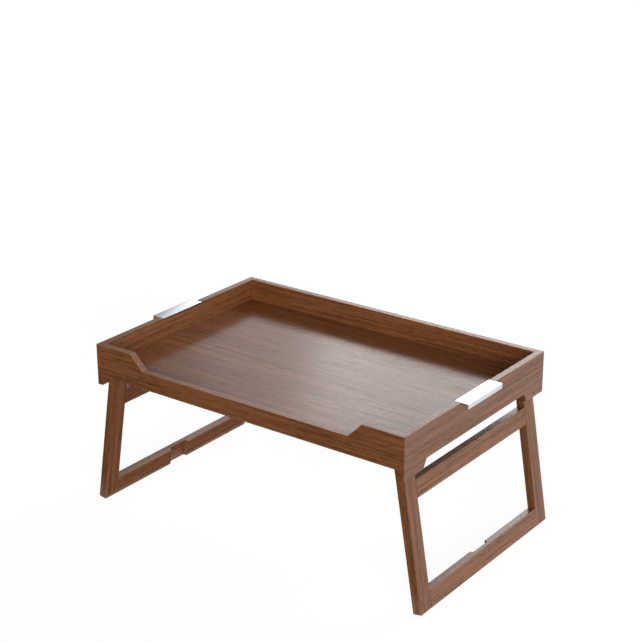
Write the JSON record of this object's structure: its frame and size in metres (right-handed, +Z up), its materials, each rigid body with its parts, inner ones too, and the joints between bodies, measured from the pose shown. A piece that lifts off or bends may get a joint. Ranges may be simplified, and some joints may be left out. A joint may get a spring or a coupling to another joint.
{
  "type": "folding bed tray table",
  "caption": "Folding wooden bed tray: a raised rim with a low front, steel handle plates in the sides, and leg frames that splay outwards and fold flat under the floor.",
  "frame": {"origin": "on the standing plane, under the middle of the opened table", "axes": "+X to the right along the long side, -Y towards the person and the low front board, +Z up"},
  "size_m": [0.6514, 0.4, 0.29],
  "materials": {
    "walnut_boards": "American walnut, straight grain along each board, satin lacquer, eased edges",
    "walnut_floor": "walnut panel, grain along the tray, smooth satin lacquer that reflects softly",
    "walnut_legs": "walnut, grain along each piece, satin lacquer",
    "beech": "plain beech",
    "handle_steel": "stainless steel, polished top, fine lengthwise brushing on the lip",
    "bolt_steel": "zinc plated steel",
    "brass": "plain turned brass",
    "nylon": "natural nylon"
  },
  "bodies": {
    "tray": {"front_board": "walnut_boards", "back_board": "walnut_boards", "left_side_board": "walnut_boards", "right_side_board": "walnut_boards", "tray_floor": "walnut_floor", "corner_splines": "walnut_boards", "left_handle_plate": "handle_steel", "left_handle_studs": "handle_steel", "left_pivot_bolts": "bolt_steel", "left_friction_washers": "nylon", "left_threaded_inserts": "brass", "right_handle_plate": "handle_steel", "right_handle_studs": "handle_steel", "right_pivot_bolts": "bolt_steel", "right_friction_washers": "nylon", "right_threaded_inserts": "brass"},
    "left_leg_frame": {"left_upper_rail": "walnut_legs", "left_bottom_rail": "walnut_legs", "left_frame_tenons": "beech", "left_pivot_bushes": "brass", "left_front_upright": "walnut_legs", "left_back_upright": "walnut_legs"},
    "right_leg_frame": {"right_upper_rail": "walnut_legs", "right_bottom_rail": "walnut_legs", "right_frame_tenons": "beech", "right_pivot_bushes": "brass", "right_front_upright": "walnut_legs", "right_back_upright": "walnut_legs"}
  },
  "joints": [
    {"name": "left_leg_fold", "type": "hinge", "parent": "tray", "child": "left_leg_frame", "pos_m": [-0.2789, 0, 0.24], "axis": [0, -1, 0], "range_deg": [0, 99.4]},
    {"name": "right_leg_fold", "type": "hinge", "parent": "tray", "child": "right_leg_frame", "pos_m": [0.2789, 0, 0.24], "axis": [0, 1, 0], "range_deg": [0, 99.4]}
  ]
}
